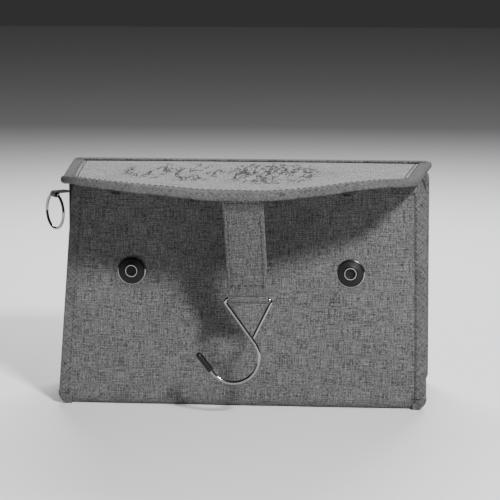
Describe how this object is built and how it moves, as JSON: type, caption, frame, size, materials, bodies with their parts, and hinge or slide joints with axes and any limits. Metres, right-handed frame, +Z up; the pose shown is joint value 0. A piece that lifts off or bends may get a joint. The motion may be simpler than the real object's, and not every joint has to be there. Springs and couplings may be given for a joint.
{
  "type": "hanging toiletry bag",
  "caption": "Soft two-pouch fabric toiletry bag that opens like a book under a snap flap and hangs from a wire hook on a short strap.",
  "frame": {"origin": "middle of the base on the surface the bag stands on, in the plane between the two pouches", "axes": "+Z up, front panel towards -Y, +X to the right when facing the front"},
  "size_m": [0.2456, 0.1631, 0.1505],
  "materials": {
    "outer_cloth": "grey melange weave",
    "binding_tape": "bias-cut twill tape",
    "lining": "dark woven lining",
    "foam": "soft padding",
    "board": "thin stiffener sheet",
    "mesh": "knitted mesh",
    "zip_tape": "woven tape",
    "zip_teeth": "moulded coil",
    "zip_metal": "polished",
    "wire": "polished round wire",
    "tip_cap": "dipped cap",
    "snap": "black disc in a bright rim",
    "snap_metal": "polished",
    "strap_cloth": "grey melange weave"
  },
  "bodies": {
    "rear_pouch": {"back_binding_left": "binding_tape", "back_binding_right": "binding_tape", "back_foam": "foam", "back_lining": "lining", "back_panel": "outer_cloth", "rear_cover": "outer_cloth", "rear_gusset_base": "outer_cloth", "rear_gusset_left": "outer_cloth", "rear_gusset_right": "outer_cloth", "rear_gusset_top": "outer_cloth", "rear_mesh": "mesh", "rear_zip_tape": "zip_tape", "rear_zip_teeth": "zip_teeth", "fold_web": "binding_tape"},
    "front_pouch": {"front_binding_left": "binding_tape", "front_binding_right": "binding_tape", "front_cover": "outer_cloth", "front_foam": "foam", "front_gusset_base": "outer_cloth", "front_gusset_left": "outer_cloth", "front_gusset_right": "outer_cloth", "front_gusset_top": "outer_cloth", "front_lining": "lining", "front_mesh": "mesh", "front_panel": "outer_cloth", "front_zip_tape": "zip_tape", "front_zip_teeth": "zip_teeth", "ring_loop": "outer_cloth", "snap_socket_left": "snap", "snap_socket_right": "snap", "snap_washers_front": "snap_metal"},
    "flap_top": {"flap_binding_left": "binding_tape", "flap_binding_right": "binding_tape", "flap_board": "board", "flap_crease": "binding_tape", "flap_lining": "lining", "flap_top": "outer_cloth"},
    "flap_lip": {"lip_binding": "binding_tape", "lip_board": "board", "lip_lining": "lining", "lip_top": "outer_cloth", "snap_stud_left": "snap_metal", "snap_stud_right": "snap_metal", "strap_anchor": "strap_cloth"},
    "strap": {"strap": "strap_cloth"},
    "hook": {"hook_wire": "wire", "hook_tip": "tip_cap"},
    "side_ring": {"side_ring": "wire"},
    "rear_slider": {"rear_zip_slider": "zip_metal"},
    "rear_pull": {"rear_zip_pull": "zip_metal"},
    "front_slider": {"front_zip_slider": "zip_metal"},
    "front_pull": {"front_zip_pull": "zip_metal"}
  },
  "joints": [
    {"name": "front_fold", "type": "hinge", "parent": "rear_pouch", "child": "front_pouch", "pos_m": [0, 0, -0.0005], "axis": [1, 0, 0], "range_deg": [0, 180]},
    {"name": "flap_open", "type": "hinge", "parent": "rear_pouch", "child": "flap_top", "pos_m": [0, 0.0402, 0.1463], "axis": [-1, 0, 0], "range_deg": [0, 90]},
    {"name": "lip_bend", "type": "hinge", "parent": "flap_top", "child": "flap_lip", "pos_m": [0, -0.047, 0.1483], "axis": [-1, 0, 0], "range_deg": [-10, 0]},
    {"name": "strap_swing", "type": "hinge", "parent": "flap_lip", "child": "strap", "pos_m": [0.008, -0.115, 0.1445], "axis": [-1, 0, 0], "range_deg": [0, 119]},
    {"name": "hook_swing", "type": "hinge", "parent": "strap", "child": "hook", "pos_m": [0.008, -0.07815, 0.07803], "axis": [1, 0, 0], "range_deg": [-100, 5]},
    {"name": "ring_swing", "type": "hinge", "parent": "front_pouch", "child": "side_ring", "pos_m": [-0.1179, -0.0469, 0.138], "axis": [0.6198, -0.7848, 0], "range_deg": [-15, 15]},
    {"name": "rear_zip_slide", "type": "slide", "parent": "rear_pouch", "child": "rear_slider", "axis": [-1, 0, 0], "range_m": [0, 0.172]},
    {"name": "rear_pull_swing", "type": "hinge", "parent": "rear_slider", "child": "rear_pull", "pos_m": [0.086, 0.0024, 0.12], "axis": [0, 1, 0], "range_deg": [-60, 60]},
    {"name": "front_zip_slide", "type": "slide", "parent": "front_pouch", "child": "front_slider", "axis": [1, 0, 0], "range_m": [0, 0.172]},
    {"name": "front_pull_swing", "type": "hinge", "parent": "front_slider", "child": "front_pull", "pos_m": [-0.086, -0.0024, 0.12], "axis": [0, 1, 0], "range_deg": [-60, 60]}
  ],
  "couplings": [
    {"joint": "flap_open", "follows": "front_fold", "ratio": 0.5},
    {"joint": "strap_swing", "follows": "front_fold", "ratio": 0.66}
  ]
}
